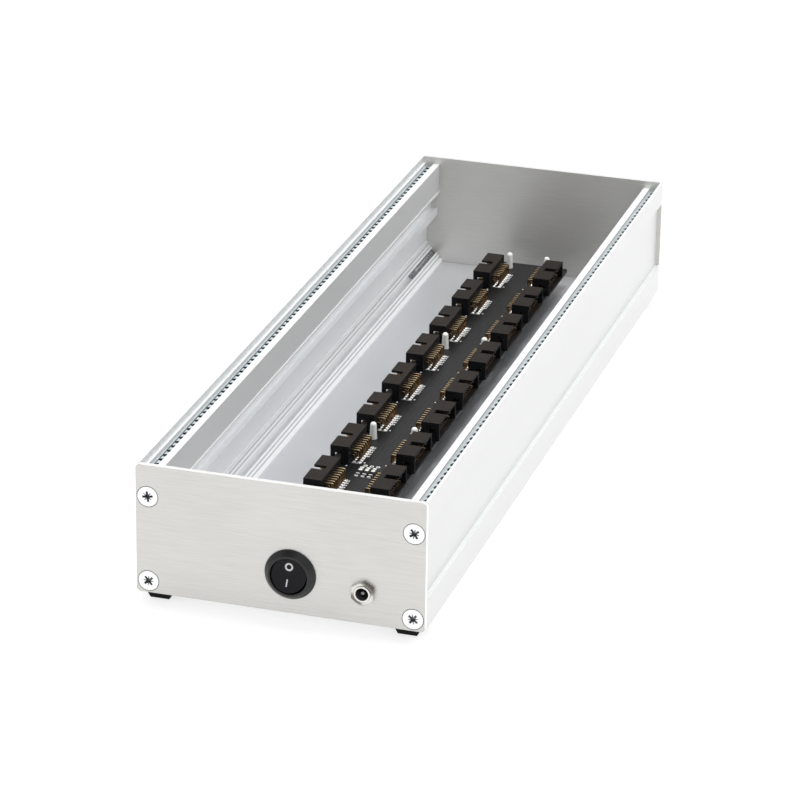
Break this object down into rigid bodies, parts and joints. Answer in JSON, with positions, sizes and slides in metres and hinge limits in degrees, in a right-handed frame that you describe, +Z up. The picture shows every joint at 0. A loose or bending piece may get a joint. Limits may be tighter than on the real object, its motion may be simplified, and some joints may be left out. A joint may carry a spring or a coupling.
{
  "type": "modular synthesizer case",
  "caption": "Long shallow desktop case for synthesizer modules, open on top, with slotted side rails, threaded strips, a bus board with box headers, a round rocker switch and a power jack.",
  "frame": {"origin": "centre of the whole case's footprint, at the height of the feet's soles", "axes": "+Z up out of the open top, +Y along the case from the switch end to the rear end, +X to the right seen from the switch end"},
  "size_m": [0.1314, 0.436, 0.0663],
  "materials": {
    "side_rails": "bead blasted and clear anodised extrusion",
    "floor": "clear anodised sheet",
    "end_plates": "brushed lengthways and clear anodised",
    "strips": "zinc plated",
    "screws": "zinc plated, cross recess",
    "feet": "matt moulded",
    "board": "glass fibre laminate with a black mask",
    "supports": "moulded nylon",
    "headers": "moulded, slightly satin",
    "contacts": "plated pins",
    "lamps": "moulded lamp bodies",
    "small_parts": "moulded and ceramic parts",
    "switch": "satin moulded",
    "jack_metal": "nickel plated brass",
    "jack_plastic": "moulded"
  },
  "bodies": {
    "case": {"left_side_rail": "side_rails", "right_side_rail": "side_rails", "floor_plate": "floor", "front_end_plate": "end_plates", "rear_end_plate": "end_plates", "left_threaded_strip": "strips", "right_threaded_strip": "strips", "front_plate_screws": "screws", "rear_plate_screws": "screws", "front_left_foot": "feet", "front_right_foot": "feet", "rear_left_foot": "feet", "rear_right_foot": "feet", "bus_board": "board", "board_supports": "supports", "indicator_lamps": "lamps", "indicator_resistors": "small_parts", "input_terminal": "small_parts", "switch_housing": "switch", "switch_tabs": "contacts", "jack_barrel": "jack_metal", "jack_nut": "jack_metal", "jack_washer": "jack_metal", "jack_centre_pin": "jack_metal", "jack_body": "jack_plastic", "jack_tags": "contacts", "left_header_shroud_1": "headers", "left_header_pins_1": "contacts", "left_header_shroud_2": "headers", "left_header_pins_2": "contacts", "left_header_shroud_3": "headers", "left_header_pins_3": "contacts", "left_header_shroud_4": "headers", "left_header_pins_4": "contacts", "left_header_shroud_5": "headers", "left_header_pins_5": "contacts", "left_header_shroud_6": "headers", "left_header_pins_6": "contacts", "left_header_shroud_7": "headers", "left_header_pins_7": "contacts", "left_header_shroud_8": "headers", "left_header_pins_8": "contacts", "right_header_shroud_1": "headers", "right_header_pins_1": "contacts", "right_header_shroud_2": "headers", "right_header_pins_2": "contacts", "right_header_shroud_3": "headers", "right_header_pins_3": "contacts", "right_header_shroud_4": "headers", "right_header_pins_4": "contacts", "right_header_shroud_5": "headers", "right_header_pins_5": "contacts", "right_header_shroud_6": "headers", "right_header_pins_6": "contacts", "right_header_shroud_7": "headers", "right_header_pins_7": "contacts", "right_header_shroud_8": "headers", "right_header_pins_8": "contacts"},
    "rocker": {"rocker": "switch"}
  },
  "joints": [
    {"name": "rocker_tilt", "type": "hinge", "parent": "case", "child": "rocker", "pos_m": [0.005, -0.2133, 0.0244], "axis": [0.9962, 0, -0.0872], "range_deg": [0, 20]}
  ]
}
